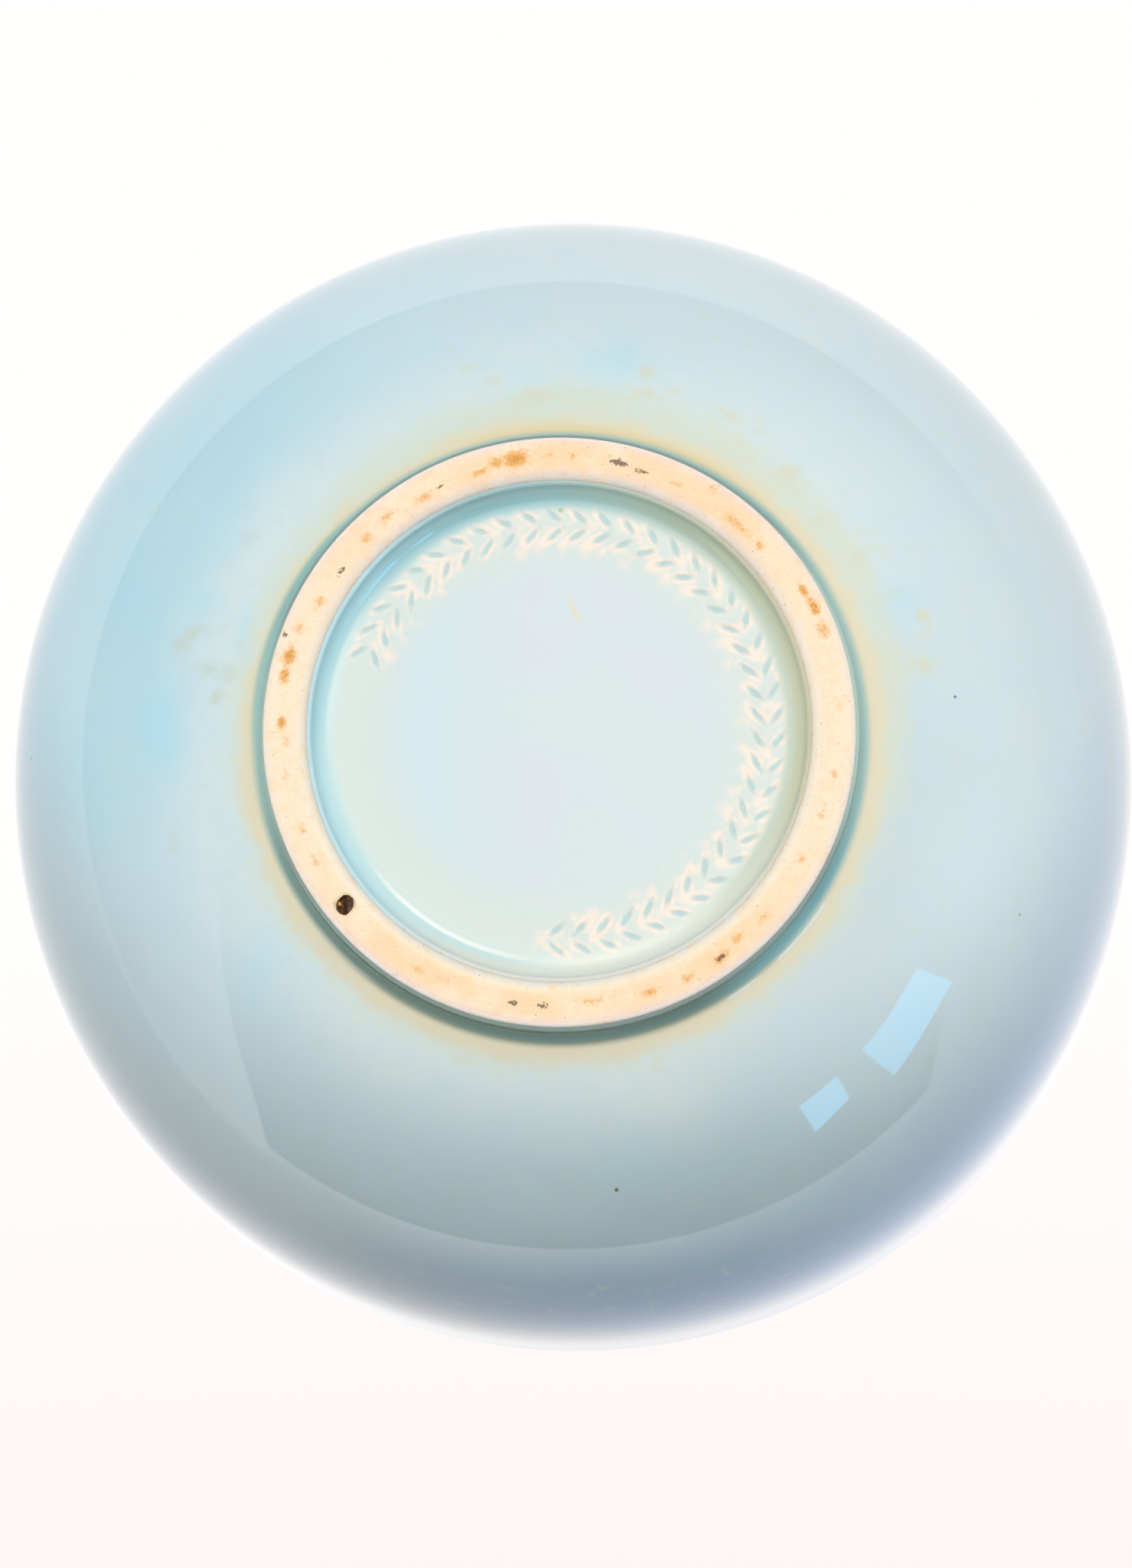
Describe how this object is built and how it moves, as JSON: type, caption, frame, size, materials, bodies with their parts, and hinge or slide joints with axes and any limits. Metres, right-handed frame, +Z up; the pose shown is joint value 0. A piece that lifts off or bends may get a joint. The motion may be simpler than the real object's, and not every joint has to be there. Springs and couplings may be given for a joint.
{
  "type": "glazed ceramic bowl",
  "caption": "Round glazed bowl with a full belly, a plain rounded lip, a bare foot ring and a stamped wheat-ear band under the foot.",
  "frame": {"origin": "centre of the foot ring's tread, on the plane that the bowl stands on", "axes": "+Z up along the bowl's axis, towards the opening; +X and +Y level, with no preferred direction apart from the stamped band and the iron speck"},
  "size_m": [0.144, 0.144, 0.058],
  "materials": {
    "fired_clay": "bare fired cream clay, dry and slightly rough",
    "turquoise_glaze": "glossy pale turquoise glaze",
    "liner_glaze": "glossy pale turquoise glaze",
    "recess_glaze": "glossy pale turquoise glaze, darker where it pools",
    "iron_speck": "glassy dark iron"
  },
  "bodies": {
    "root": {"clay_body": "fired_clay", "outer_glaze": "turquoise_glaze", "liner_glaze": "liner_glaze", "recess_glaze": "recess_glaze", "iron_fleck": "iron_speck"}
  },
  "joints": []
}
